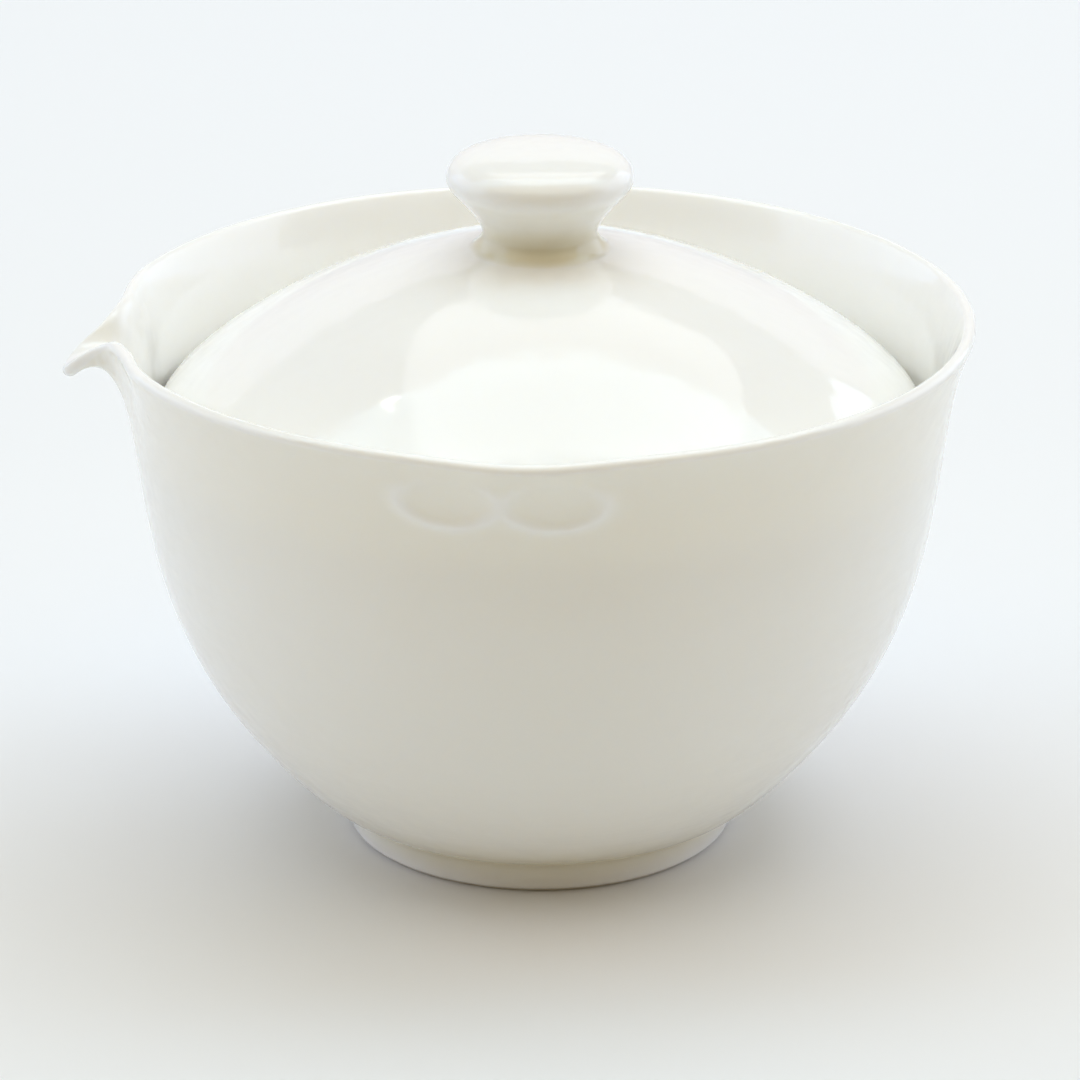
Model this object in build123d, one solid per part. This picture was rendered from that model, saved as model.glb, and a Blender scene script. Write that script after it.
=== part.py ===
from build123d import *
from math import comb, cos, exp, pi, radians, sin, sqrt
import os

# A porcelain pouring gaiwan: a bowl on a foot ring, with a drawn pouring lip
# and two finger rests, and a domed lid that sits down inside the bowl on a
# ledge and lifts out by a disc knob.
#
# Frame: millimetres, +Z up, origin in the middle of the foot's resting face.
# The lip pours towards -X; the finger rests are near -Y and +Y.

# --- Bowl -------------------------------------------------------------------
RIM_RADIUS = 46.0
BOWL_HEIGHT = 58.1         # to the top of the rounded rim
FOOT_TOP_RADIUS = 21.25
FOOT_HEIGHT = 3.9
FLOOR_THICKNESS = 2.6
RIM_THICKNESS = 1.4
EDGE_RISE = 0.7 * RIM_THICKNESS   # the rounded edge, above the end of the outer face

# The wall's outer face from the foot ring to the rim, as Bezier control
# points: shares of the run out to the rim and of the rise up to its edge.
WALL_SHAPE = ((0, 0), (0.23, 0), (0.315, 0.194), (1.08, 0.302), (0.74, 0.741), (1, 1))

# --- Foot ring ---------------------------------------------------------------
FOOT_TAPER = 0.45          # how much narrower the ring is at its resting face
FOOT_RING_WIDTH = 3.0
FOOT_EDGE_ROUND = 0.5

# --- Pouring lip, drawn out of the rim ---------------------------------------
LIP_REACH = 3.4            # how far the tip stands out past the rim circle
LIP_DROP = 5.9             # how far the tip's underside hangs below the rim
LIP_DEPTH = 13.5           # height of the wall that is drawn into the lip
LIP_HALF_ANGLE = 3.6       # from the lip's middle to where it has faded to 1/e
LIP_CURL = ((0.30, 0.56), (0.66, 0.69))   # its bend: shares of reach and of drop
THROAT_ANGLE = 12.0        # the rim is pinched in at this angle on each side
THROAT_HALF_ANGLE = 6.0
THROAT_PINCH = 0.7
THROAT_SAG = 0.6           # and dips gently towards the lip
THROAT_SAG_HALF_ANGLE = 15.0

# --- Finger rests ------------------------------------------------------------
REST_ANGLE = 84.0          # from the lip to the middle of each rest
REST_HALF_ANGLE = 11.0
REST_FLARE = 0.9           # the rim turns out here
REST_SAG = 0.4             # and dips
DIMPLE_DEPTH = 0.2         # two fingertip dimples are pressed in under the rim
DIMPLE_DROP = 4.9          # from the rim down to the dimples' middle
DIMPLE_HALF_HEIGHT = 2.3
DIMPLE_HALF_ANGLE = 4.8
DIMPLE_ANGLES = (74.3, 87.8)  # from the lip to the middle of each dimple

# --- Lid ledge ---------------------------------------------------------------
LEDGE_DEPTH = 12.2         # from the rim down to the ledge's top face
LEDGE_WIDTH = 4.4
LEDGE_HEIGHT = 4.2
LEDGE_NOSE = 1.2           # the height of its inner edge
LEDGE_SEAM = 0.06          # the slip joint between the ledge and the wall
LEDGE_GAP_HALF_ANGLE = 24.0   # the ledge stays open behind the lip

# --- Lid ---------------------------------------------------------------------
LID_CLEARANCE = 0.7        # from the lid's edge to the bowl's wall
SEAT_GAP = 0.2             # from the lid's edge to the ledge
LID_RISE = 19.8            # from the lid's edge to the knob's seat
LID_THICKNESS = 2.0
LID_SHAPE = ((1, 0), (0.988, 0.205), (0.835, 0.452), (0.42, 1.0), (0, 1.0))

# --- Knob --------------------------------------------------------------------
KNOB_RADIUS = 9.9
KNOB_HEIGHT = 10.35
NECK_RADIUS = 6.1
NECK_HEIGHT = 1.2

# --- How closely the drawn surfaces are sampled ------------------------------
LOW_STATIONS = 8           # rings on each face below the drawn stretch
HIGH_STATIONS = 10         # rings on each face within it
FINE_STEP = 1.6            # angle between points across the lip
MIDDLE_STEP = 2.8          # across the finger rests
COARSE_STEP = 7.5          # and elsewhere
LID_SAMPLES = 24


def bezier(points, t):
    """Return the point at t on the Bezier curve with these control points."""
    order = len(points) - 1
    weights = [comb(order, i) * t**i * (1 - t) ** (order - i) for i in range(order + 1)]
    return tuple(sum(w * p[axis] for w, p in zip(weights, points)) for axis in (0, 1))


def bump(offset, half_width):
    """Return a smooth hump: 1 at no offset, 1/e at the half width."""
    return exp(-((offset / half_width) ** 2))


def smooth_step(value):
    """Return 0 below 0, 1 above 1 and an even S-curve between."""
    held = min(max(value, 0.0), 1.0)
    return held * held * (3 - 2 * held)


def plain_wall(t):
    """Return radius and height of the round wall's outer face at t."""
    out, up = bezier(WALL_SHAPE, t)
    radius = FOOT_TOP_RADIUS + out * (RIM_RADIUS - FOOT_TOP_RADIUS)
    return radius, FOOT_HEIGHT + up * (BOWL_HEIGHT - EDGE_RISE - FOOT_HEIGHT)


def reached(height, face):
    """Return t where face(t), a radius and a height, climbs to this height."""
    low, high = 0.0, 1.0
    for _ in range(40):
        middle = (low + high) / 2
        if face(middle)[1] < height:
            low = middle
        else:
            high = middle
    return (low + high) / 2


DRAWN_FROM = reached(BOWL_HEIGHT - LIP_DEPTH, plain_wall)


def lip_wall(share):
    """Return the outer face in the lip's middle, share 0 to 1 along the stretch."""
    start = plain_wall(DRAWN_FROM)
    ahead = plain_wall(DRAWN_FROM + 0.001)
    run = (1 - DRAWN_FROM) / 0.001 / 4
    onward = tuple(a + (b - a) * run for a, b in zip(start, ahead))
    reach = RIM_RADIUS + LIP_REACH - start[0]
    bend = [(start[0] + out * reach, BOWL_HEIGHT - down * LIP_DROP) for out, down in LIP_CURL]
    return bezier([start, onward, *bend, (start[0] + reach, BOWL_HEIGHT - LIP_DROP)], share)


def outer_wall(t, angle):
    """Return radius and height of the outer face, angle in degrees from the lip."""
    radius, height = plain_wall(t)
    share = (t - DRAWN_FROM) / (1 - DRAWN_FROM)
    if share <= 0:
        return radius, height
    side = abs(angle)
    lip = bump(side, LIP_HALF_ANGLE)
    lip_radius, lip_height = lip_wall(share)
    radius += lip * (lip_radius - radius)
    height += lip * (lip_height - height)
    fade = smooth_step(share)
    rest = bump(side - REST_ANGLE, REST_HALF_ANGLE) * fade
    radius -= THROAT_PINCH * bump(side - THROAT_ANGLE, THROAT_HALF_ANGLE) * fade
    radius += REST_FLARE * rest * share
    height -= REST_SAG * rest
    height -= THROAT_SAG * bump(side, THROAT_SAG_HALF_ANGLE) * fade * (1 - lip)
    level = bump(BOWL_HEIGHT - DIMPLE_DROP - height, DIMPLE_HALF_HEIGHT)
    for middle in DIMPLE_ANGLES:
        radius -= DIMPLE_DEPTH * level * bump(side - middle, DIMPLE_HALF_ANGLE)
    return radius, height


def wall_thickness(t):
    """Return the wall's thickness, which thins from the floor to the rim."""
    return FLOOR_THICKNESS + (RIM_THICKNESS - FLOOR_THICKNESS) * smooth_step(1.4 * t)


def across_wall(t, angle, share):
    """Return a point at t, share 0 on the outer face to 1 on the inner one."""
    low, high = max(t - 0.002, 0.0), min(t + 0.002, 1.0)
    before, after = outer_wall(low, angle), outer_wall(high, angle)
    along = (after[0] - before[0], after[1] - before[1])
    length = sqrt(along[0] ** 2 + along[1] ** 2)
    depth = share * wall_thickness(t)
    radius, height = outer_wall(t, angle)
    return radius - depth * along[1] / length, height + depth * along[0] / length


def inner_radius(height):
    """Return the radius of the bowl's inner face, well away from the lip."""
    t = reached(height, lambda t: across_wall(t, 180, 1.0))
    return across_wall(t, 180, 1.0)[0]


def around_rim(angle, turn):
    """Return a point on the rounded edge, turn 0 on the outer face to 1 inside."""
    outer = across_wall(1.0, angle, 0.0)
    inner = across_wall(1.0, angle, 1.0)
    middle = ((outer[0] + inner[0]) / 2, (outer[1] + inner[1]) / 2)
    half = ((outer[0] - inner[0]) / 2, (outer[1] - inner[1]) / 2)
    c, s = cos(pi * turn), sin(pi * turn)
    return middle[0] + half[0] * c - half[1] * s, middle[1] + half[1] * c + half[0] * s


def stepped(start, stop, step):
    """Return even angles from start up to, but without, stop."""
    count = max(1, round((stop - start) / step))
    return [start + (stop - start) * i / count for i in range(count)]


def ring_angles():
    """Return the angles from the lip, dense where the rim is worked."""
    lip_end = THROAT_ANGLE + THROAT_HALF_ANGLE
    rest_start = REST_ANGLE - 1.6 * REST_HALF_ANGLE
    rest_end = REST_ANGLE + 1.6 * REST_HALF_ANGLE
    half = stepped(0, lip_end, FINE_STEP)
    half += stepped(lip_end, rest_start, COARSE_STEP)
    half += stepped(rest_start, rest_end, MIDDLE_STEP)
    half += stepped(rest_end, 180, COARSE_STEP)
    return [-180.0] + [-angle for angle in reversed(half[1:])] + half


def ring(section):
    """Return a closed smooth wire through section(angle) all round the bowl."""
    angles = ring_angles()
    points = []
    for angle in angles:
        radius, height = section(angle)
        heading = radians(180 + angle)
        points.append((radius * cos(heading), radius * sin(heading), height))
    edge = Edge.make_spline(points, periodic=True, parameters=[*angles, 180.0])
    return Wire([edge])


def bowl_shell():
    """Return the bowl: both faces of the wall, the rounded rim and flat ends."""
    low = [DRAWN_FROM * i / LOW_STATIONS for i in range(LOW_STATIONS)]
    high = [DRAWN_FROM + (1 - DRAWN_FROM) * i / HIGH_STATIONS for i in range(HIGH_STATIONS + 1)]
    stations = low + high
    rings = [ring(lambda angle, t=t: across_wall(t, angle, 0.0)) for t in stations]
    rings += [ring(lambda angle, k=k: around_rim(angle, k)) for k in (0.25, 0.5, 0.75)]
    rings += [ring(lambda angle, t=t: across_wall(t, angle, 1.0)) for t in reversed(stations)]
    return Solid.make_loft(rings)


def foot_ring():
    """Return the foot ring, with its resting edge softly rounded."""
    outer = FOOT_TOP_RADIUS - FOOT_TAPER
    inner = outer - FOOT_RING_WIDTH
    with BuildSketch(Plane.XZ) as profile:
        with BuildLine():
            Polyline(
                (inner, 0),
                (outer, 0),
                (FOOT_TOP_RADIUS, FOOT_HEIGHT),
                (inner - FOOT_EDGE_ROUND, FOOT_HEIGHT),
                close=True,
            )
        make_face()
        fillet(profile.vertices().sort_by(Axis.Z)[:2], FOOT_EDGE_ROUND)
    return revolve(profile.sketch, Axis.Z)


def lid_ledge():
    """Return the ledge the lid sits on, luted to the wall and open behind the lip."""
    top = BOWL_HEIGHT - LEDGE_DEPTH
    heights = [top - LEDGE_HEIGHT * share for share in (1, 0.75, 0.5, 0.25, 0)]
    face = [(inner_radius(height) - LEDGE_SEAM, height) for height in heights]
    nose = face[-1][0] - LEDGE_WIDTH
    with BuildSketch(Plane.XZ) as profile:
        with BuildLine():
            Spline(*face)
            Polyline(face[-1], (nose, top), (nose, top - LEDGE_NOSE), face[0])
        make_face()
        fillet(profile.vertices().sort_by(Axis.X)[:2], LEDGE_NOSE / 3)
    blank = revolve(profile.sketch, Axis.Z, 360 - 2 * LEDGE_GAP_HALF_ANGLE)
    return blank.rotate(Axis.Z, LEDGE_GAP_HALF_ANGLE - 180)


def lid_edge():
    """Return radius and height of the lid's lowest outer edge."""
    height = BOWL_HEIGHT - LEDGE_DEPTH + SEAT_GAP
    return inner_radius(height) - LID_CLEARANCE, height


def lid_dome():
    """Return the lid's dome, even in thickness, with a rounded edge."""
    radius, height = lid_edge()
    outer, inner = [], []
    for i in range(LID_SAMPLES + 1):
        t = i / LID_SAMPLES
        here = bezier(LID_SHAPE, t)
        low, high = bezier(LID_SHAPE, max(t - 0.001, 0)), bezier(LID_SHAPE, min(t + 0.001, 1))
        along = ((high[0] - low[0]) * radius, (high[1] - low[1]) * LID_RISE)
        length = sqrt(along[0] ** 2 + along[1] ** 2)
        point = (here[0] * radius, height + here[1] * LID_RISE)
        outer.append(point)
        inner.append(
            (
                point[0] - LID_THICKNESS * along[1] / length,
                point[1] + LID_THICKNESS * along[0] / length,
            )
        )
    inner[0] = (radius - LID_THICKNESS, height)
    inner[-1] = (0, height + LID_RISE - LID_THICKNESS)
    with BuildSketch(Plane.XZ) as profile:
        with BuildLine():
            Spline(*outer)
            Line(outer[-1], inner[-1])
            Spline(*reversed(inner))
            Line(inner[0], outer[0])
        make_face()
    return revolve(profile.sketch, Axis.Z)


def lid_knob():
    """Return the knob: a short neck, a flaring underside and a domed top."""
    seat = lid_edge()[1] + LID_RISE
    widest = seat + 0.69 * KNOB_HEIGHT
    top = seat + KNOB_HEIGHT
    with BuildSketch(Plane.XZ) as profile:
        with BuildLine():
            Line((0, seat), (NECK_RADIUS, seat))
            Line((NECK_RADIUS, seat), (NECK_RADIUS, seat + NECK_HEIGHT))
            Spline(
                (NECK_RADIUS, seat + NECK_HEIGHT),
                (KNOB_RADIUS, widest),
                (0, top),
                tangents=((0.35, 1), (0, 1), (-1, 0)),
                tangent_scalars=(0.8, 0.9, 1.0),
            )
            Line((0, top), (0, seat))
        make_face()
    return revolve(profile.sketch, Axis.Z)


def main():
    os.makedirs("parts", exist_ok=True)
    pieces = {
        "bowl_shell": bowl_shell(),
        "foot_ring": foot_ring(),
        "lid_ledge": lid_ledge(),
        "lid_dome": lid_dome(),
        "lid_knob": lid_knob(),
    }
    for name, shape in pieces.items():
        export_step(shape, f"parts/{name}.step")


main()
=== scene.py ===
import logging
import math
from collections.abc import Callable
from dataclasses import dataclass, field
from enum import Enum

import bpy
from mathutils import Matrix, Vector


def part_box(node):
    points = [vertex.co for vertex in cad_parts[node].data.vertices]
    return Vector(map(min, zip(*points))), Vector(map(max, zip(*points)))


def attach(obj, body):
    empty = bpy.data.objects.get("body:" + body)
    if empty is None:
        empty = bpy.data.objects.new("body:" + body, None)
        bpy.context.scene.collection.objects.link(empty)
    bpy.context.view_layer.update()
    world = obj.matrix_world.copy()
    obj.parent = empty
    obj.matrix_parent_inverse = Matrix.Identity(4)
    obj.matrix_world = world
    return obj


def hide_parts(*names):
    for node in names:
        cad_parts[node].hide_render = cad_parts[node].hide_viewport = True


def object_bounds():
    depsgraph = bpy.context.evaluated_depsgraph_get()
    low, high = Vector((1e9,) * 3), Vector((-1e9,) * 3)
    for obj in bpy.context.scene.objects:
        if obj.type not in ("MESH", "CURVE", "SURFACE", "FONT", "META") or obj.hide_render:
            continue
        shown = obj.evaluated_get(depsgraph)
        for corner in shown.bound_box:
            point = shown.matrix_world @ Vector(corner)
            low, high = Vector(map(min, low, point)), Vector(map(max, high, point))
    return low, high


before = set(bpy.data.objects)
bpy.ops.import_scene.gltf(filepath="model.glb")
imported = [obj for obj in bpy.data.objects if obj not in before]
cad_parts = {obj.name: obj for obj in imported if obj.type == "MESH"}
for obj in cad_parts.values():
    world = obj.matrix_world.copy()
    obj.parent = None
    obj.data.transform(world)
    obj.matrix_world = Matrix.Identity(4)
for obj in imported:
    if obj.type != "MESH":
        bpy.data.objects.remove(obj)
cad_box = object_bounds()

MM = 0.001
NUDGE = 0.001                  # step along a curve over which its direction is taken
LOG = logging.getLogger("gaiwan")

Point = tuple[float, float]
Ring = list[Vector]


# --- Curves that the potter's shapes are made of --------------------------------


def bezier(points: tuple[Point, ...] | list[Point], t: float) -> Point:
    """Find a point on a Bezier curve.

    Args:
        points: The control points, as pairs.
        t: How far along the curve, 0 to 1.

    Returns:
        The point, as a pair.
    """
    order = len(points) - 1
    weights = [math.comb(order, i) * t**i * (1 - t) ** (order - i) for i in range(order + 1)]
    return (
        sum(w * p[0] for w, p in zip(weights, points)),
        sum(w * p[1] for w, p in zip(weights, points)),
    )


def bump(offset: float, half_width: float) -> float:
    """Find the height of a smooth hump.

    Args:
        offset: Distance from the hump's middle.
        half_width: Distance at which it has faded to 1/e.

    Returns:
        1 in the middle, fading to 0.
    """
    return math.exp(-((offset / half_width) ** 2))


def smooth_step(value: float) -> float:
    """Return 0 below 0, 1 above 1 and an even S-curve between."""
    held = min(max(value, 0.0), 1.0)
    return held * held * (3 - 2 * held)


def between(a: float, b: float, share: float) -> float:
    """Return the value that share of the way from a to b."""
    return a + (b - a) * share


def arc(centre: Point, radius: float, start: float, stop: float, steps: int) -> list[Point]:
    """Lay points along a round stretch of a profile.

    Args:
        centre: The arc's centre, as radius and height.
        radius: The arc's own radius.
        start: Angle of the first point in degrees, 0 outwards and 90 up.
        stop: Angle of the last point.
        steps: How many equal steps to take.

    Returns:
        The points, first and last included.
    """
    angles = [math.radians(between(start, stop, i / steps)) for i in range(steps + 1)]
    return [(centre[0] + radius * math.cos(a), centre[1] + radius * math.sin(a)) for a in angles]


def spread(start: float, stop: float, count: int) -> list[float]:
    """Return count even values from start up to, but without, stop."""
    return [between(start, stop, i / count) for i in range(count)]


def full_turn(count: int) -> list[float]:
    """Return count even headings round the axis, in radians."""
    return spread(0.0, 2 * math.pi, count)


def band_profile(inside: Point, outside: Point, soft: float, steps: int) -> list[Point]:
    """Lay out the section of a flat band whose lower edges are rounded.

    Args:
        inside: Inner radius, and height of the underside.
        outside: Outer radius, and height of the top.
        soft: Radius of the rounded edges.
        steps: Steps round each of them.

    Returns:
        The section, closed from its last point to its first.
    """
    (inner, low), (outer, high) = inside, outside
    section = arc((inner + soft, low + soft), soft, 180, 270, steps)
    section += arc((outer - soft, low + soft), soft, 270, 360, steps)
    return section + [(outer, high), (inner, high)]


# --- Finishes -------------------------------------------------------------------


class Coat(Enum):
    """What the fired clay carries on its surface."""

    GLAZE = "white_glaze"
    BARE = "bare_porcelain"


POOL_SHADE_AND_WEAR = "pool_shade_and_wear"    # vertex attribute: on glaze, how deep it lies, plus painted shade in the crease at the foot and round the knob; on bare clay, how worn it is


class NodeGroup:
    """A shader node group under construction, with named sockets."""

    def __init__(self, name: str) -> None:
        """Start an empty group.

        Args:
            name: The group's name.
        """
        self.tree = bpy.data.node_groups.new(name, "ShaderNodeTree")
        self.inlet = self.tree.nodes.new("NodeGroupInput")
        self.outlet = self.tree.nodes.new("NodeGroupOutput")

    def takes(self, name: str, default: float) -> bpy.types.NodeSocket:
        """Add an input and return the socket that carries it inside the group.

        Args:
            name: The input's name.
            default: Its value when nothing is set.

        Returns:
            The socket to link from.
        """
        item = self.tree.interface.new_socket(name, in_out="INPUT", socket_type="NodeSocketFloat")
        item.default_value = default
        return self.inlet.outputs[name]

    def gives(self, name: str, source: bpy.types.NodeSocket) -> None:
        """Add an output fed by source.

        Args:
            name: The output's name.
            source: The socket inside the group that feeds it.
        """
        self.tree.interface.new_socket(name, in_out="OUTPUT", socket_type="NodeSocketFloat")
        self.tree.links.new(source, self.outlet.inputs[name])

    def node(self, kind: str, **settings: object) -> bpy.types.Node:
        """Add a node.

        Args:
            kind: The node's type.
            settings: Its properties.

        Returns:
            The node.
        """
        made = self.tree.nodes.new(kind)
        for key, value in settings.items():
            setattr(made, key, value)
        return made

    def math(self, operation: str, first: object, second: object) -> bpy.types.NodeSocket:
        """Add a Math node.

        Args:
            operation: The Math node's operation.
            first: A socket or a number.
            second: A socket or a number.

        Returns:
            The node's result.
        """
        made = self.node("ShaderNodeMath", operation=operation)
        for socket, value in zip(made.inputs, (first, second)):
            if isinstance(value, bpy.types.NodeSocket):
                self.tree.links.new(value, socket)
            else:
                socket.default_value = value
        return made.outputs[0]

    def ramp(self, source: bpy.types.NodeSocket, low: float, high: float) -> bpy.types.NodeSocket:
        """Add a smooth map of a value to 0 to 1.

        Args:
            source: The socket that gives the value.
            low: The value that gives 0.
            high: The value that gives 1.

        Returns:
            The mapped value's socket.
        """
        made = self.node("ShaderNodeMapRange", interpolation_type="SMOOTHSTEP")
        self.tree.links.new(source, made.inputs["Value"])
        made.inputs["From Min"].default_value = low
        made.inputs["From Max"].default_value = high
        return made.outputs["Result"]


def mottling_group() -> bpy.types.ShaderNodeTree:
    """Build the broad, cloudy unevenness of a fired surface.

    Returns:
        A group that takes Scale and Amount and gives a Mask around a half.
    """
    group = NodeGroup("fired mottling")
    scale = group.takes("Scale", 60.0)
    amount = group.takes("Amount", 1.0)
    place = group.node("ShaderNodeTexCoord")
    noise = group.node("ShaderNodeTexNoise")
    noise.inputs["Detail"].default_value = 4.0
    noise.inputs["Roughness"].default_value = 0.55
    group.tree.links.new(place.outputs["Object"], noise.inputs["Vector"])
    group.tree.links.new(scale, noise.inputs["Scale"])
    centred = group.math("SUBTRACT", noise.outputs["Fac"], 0.5)
    group.gives("Mask", group.math("ADD", group.math("MULTIPLY", centred, amount), 0.5))
    return group.tree


def turning_group() -> bpy.types.ShaderNodeTree:
    """Build the faint rings that the turning tool leaves round the axis.

    Returns:
        A group that takes Spacing and gives a Height from 0 to 1.
    """
    group = NodeGroup("turning lines")
    spacing = group.takes("Spacing", 0.0012)
    place = group.node("ShaderNodeTexCoord")
    split = group.node("ShaderNodeSeparateXYZ")
    group.tree.links.new(place.outputs["Object"], split.inputs[0])
    across = group.math("POWER", split.outputs["X"], 2.0)
    along = group.math("POWER", split.outputs["Y"], 2.0)
    radius = group.math("POWER", group.math("ADD", across, along), 0.5)
    travel = group.math("ADD", split.outputs["Z"], radius)
    noise = group.node("ShaderNodeTexNoise", noise_dimensions="1D")
    noise.inputs["Detail"].default_value = 2.0
    noise.inputs["Scale"].default_value = 1.0
    group.tree.links.new(group.math("DIVIDE", travel, spacing), noise.inputs["W"])
    group.gives("Height", noise.outputs["Fac"])
    return group.tree


def pinhole_group() -> bpy.types.ShaderNodeTree:
    """Build sparse pinholes and kiln specks.

    Returns:
        A group that takes Scale and Rarity and gives a Mask, 1 at a speck.
    """
    group = NodeGroup("pinholes")
    scale = group.takes("Scale", 350.0)
    rarity = group.takes("Rarity", 0.93)
    place = group.node("ShaderNodeTexCoord")
    cells = group.node("ShaderNodeTexVoronoi")
    group.tree.links.new(place.outputs["Object"], cells.inputs["Vector"])
    group.tree.links.new(scale, cells.inputs["Scale"])
    chance = group.node("ShaderNodeSeparateColor")
    group.tree.links.new(cells.outputs["Color"], chance.inputs[0])
    chosen = group.math("GREATER_THAN", chance.outputs[0], rarity)
    dot = group.math("SUBTRACT", 1.0, group.ramp(cells.outputs["Distance"], 0.05, 0.16))
    group.gives("Mask", group.math("MULTIPLY", dot, chosen))
    return group.tree


def grain_group() -> bpy.types.ShaderNodeTree:
    """Build the fine grain of a surface, dimpled glaze or sugary bare clay.

    Returns:
        A group that takes Scale and Detail and gives a Height.
    """
    group = NodeGroup("fine grain")
    scale = group.takes("Scale", 900.0)
    detail = group.takes("Detail", 2.0)
    place = group.node("ShaderNodeTexCoord")
    noise = group.node("ShaderNodeTexNoise")
    group.tree.links.new(place.outputs["Object"], noise.inputs["Vector"])
    group.tree.links.new(scale, noise.inputs["Scale"])
    group.tree.links.new(detail, noise.inputs["Detail"])
    group.gives("Height", noise.outputs["Fac"])
    return group.tree


@dataclass
class Surface:
    """A material being wired: its Principled shader and the shared groups."""

    material: bpy.types.Material
    groups: dict[str, bpy.types.ShaderNodeTree]

    @property
    def tree(self) -> bpy.types.NodeTree:
        """Return the material's node tree."""
        return self.material.node_tree

    @property
    def shader(self) -> bpy.types.Node:
        """Return the Principled shader."""
        return self.tree.nodes["Principled BSDF"]

    def place(self, group: str, **values: float) -> bpy.types.Node:
        """Put a shared group in the material.

        Args:
            group: The group's key.
            values: Values for its inputs.

        Returns:
            The group node.
        """
        made = self.tree.nodes.new("ShaderNodeGroup")
        made.node_tree = self.groups[group]
        for name, value in values.items():
            made.inputs[name].default_value = value
        return made

    def attribute(self, name: str) -> bpy.types.NodeSocket:
        """Read a vertex attribute.

        Args:
            name: The attribute's name.

        Returns:
            The socket that gives its value.
        """
        made = self.tree.nodes.new("ShaderNodeAttribute")
        made.attribute_name = name
        return made.outputs["Fac"]

    def colour_mix(
        self, share: bpy.types.NodeSocket, first: object, second: object
    ) -> bpy.types.NodeSocket:
        """Mix two colours.

        Args:
            share: The socket that gives the second colour's share.
            first: A colour or a socket.
            second: A colour or a socket.

        Returns:
            The mixed colour's socket.
        """
        made = self.tree.nodes.new("ShaderNodeMix")
        made.data_type = "RGBA"
        self.tree.links.new(share, made.inputs["Factor"])
        for name, value in (("A", first), ("B", second)):
            socket = [s for s in made.inputs if s.name == name and s.type == "RGBA"][0]
            if isinstance(value, bpy.types.NodeSocket):
                self.tree.links.new(value, socket)
            else:
                socket.default_value = (*value, 1.0)
        return [s for s in made.outputs if s.type == "RGBA"][0]

    def remap(self, source: bpy.types.NodeSocket, low: float, high: float) -> bpy.types.NodeSocket:
        """Stretch a 0 to 1 value over another range.

        Args:
            source: The socket that gives the value.
            low: What 0 turns into.
            high: What 1 turns into.

        Returns:
            The stretched value's socket.
        """
        made = self.tree.nodes.new("ShaderNodeMapRange")
        self.tree.links.new(source, made.inputs["Value"])
        made.inputs["To Min"].default_value = low
        made.inputs["To Max"].default_value = high
        return made.outputs["Result"]

    def bumps(self, layers: list[tuple[bpy.types.NodeSocket, float]]) -> None:
        """Chain bump layers into the shader's normal.

        Args:
            layers: Pairs of a height socket and its depth in metres.
        """
        normal = None
        for height, depth in layers:
            made = self.tree.nodes.new("ShaderNodeBump")
            made.inputs["Strength"].default_value = 1.0
            made.inputs["Distance"].default_value = depth
            self.tree.links.new(height, made.inputs["Height"])
            if normal is not None:
                self.tree.links.new(normal, made.inputs["Normal"])
            normal = made.outputs["Normal"]
        self.tree.links.new(normal, self.shader.inputs["Normal"])


@dataclass(frozen=True)
class IvoryGlaze:
    """A clear, warm white glaze over translucent porcelain, deeper in the corners, where its pool colour
    also paints the shade at the foot and the knob.
    """

    body: tuple[float, float, float] = (0.950, 0.947, 0.922)
    cloud: tuple[float, float, float] = (0.941, 0.937, 0.910)
    # pool_shade_colour: darker yellow of glaze pooled in the creases, also painted shade where the foot
    # meets the wall and round the knob's neck and flare
    pool_shade_colour: tuple[float, float, float] = (0.800, 0.750, 0.580)
    speck: tuple[float, float, float] = (0.700, 0.650, 0.560)
    roughness: tuple[float, float] = (0.060, 0.115)
    scatter_weight: float = 0.34
    scatter_radius: tuple[float, float, float] = (1.0, 0.94, 0.84)
    scatter_scale: float = 1.4 * MM
    ior: float = 1.52
    speck_strength: float = 0.12
    swell_depth: float = 0.45 * MM
    line_depth: float = 0.012 * MM
    peel_depth: float = 0.010 * MM
    pinhole_depth: float = 0.02 * MM

    def build(self, groups: dict[str, bpy.types.ShaderNodeTree]) -> bpy.types.Material:
        """Make the material.

        Args:
            groups: The shared node groups.

        Returns:
            The finished material.
        """
        material = bpy.data.materials.new("ivory glaze")
        material.use_nodes = True
        work = Surface(material, groups)
        depth = work.attribute(POOL_SHADE_AND_WEAR)
        cloud = work.place("mottling", Scale=55.0, Amount=1.8).outputs["Mask"]
        specks = work.place("pinholes", Scale=240.0, Rarity=0.99).outputs["Mask"]
        colour = work.colour_mix(cloud, self.body, self.cloud)
        # mixes in the pool colour by the vertex attribute: glaze pooling, with painted shade at the foot
        # joint and the knob
        colour = work.colour_mix(depth, colour, self.pool_shade_colour)
        colour = work.colour_mix(work.remap(specks, 0.0, self.speck_strength), colour, self.speck)
        work.tree.links.new(colour, work.shader.inputs["Base Color"])
        patchy = work.place("mottling", Scale=140.0, Amount=1.5).outputs["Mask"]
        gloss = work.remap(patchy, self.roughness[0], self.roughness[1])
        work.tree.links.new(gloss, work.shader.inputs["Roughness"])
        work.shader.inputs["IOR"].default_value = self.ior
        work.shader.inputs["Subsurface Weight"].default_value = self.scatter_weight
        work.shader.inputs["Subsurface Radius"].default_value = self.scatter_radius
        work.shader.inputs["Subsurface Scale"].default_value = self.scatter_scale
        peel = work.place("grain", Scale=260.0, Detail=1.0).outputs["Height"]
        lines = work.place("turning", Spacing=0.0021).outputs["Height"]
        swell = work.place("mottling", Scale=38.0, Amount=1.0).outputs["Mask"]
        work.bumps(
            [
                (swell, self.swell_depth),
                (lines, self.line_depth),
                (peel, self.peel_depth),
                (specks, self.pinhole_depth),
            ]
        )
        return material


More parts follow.
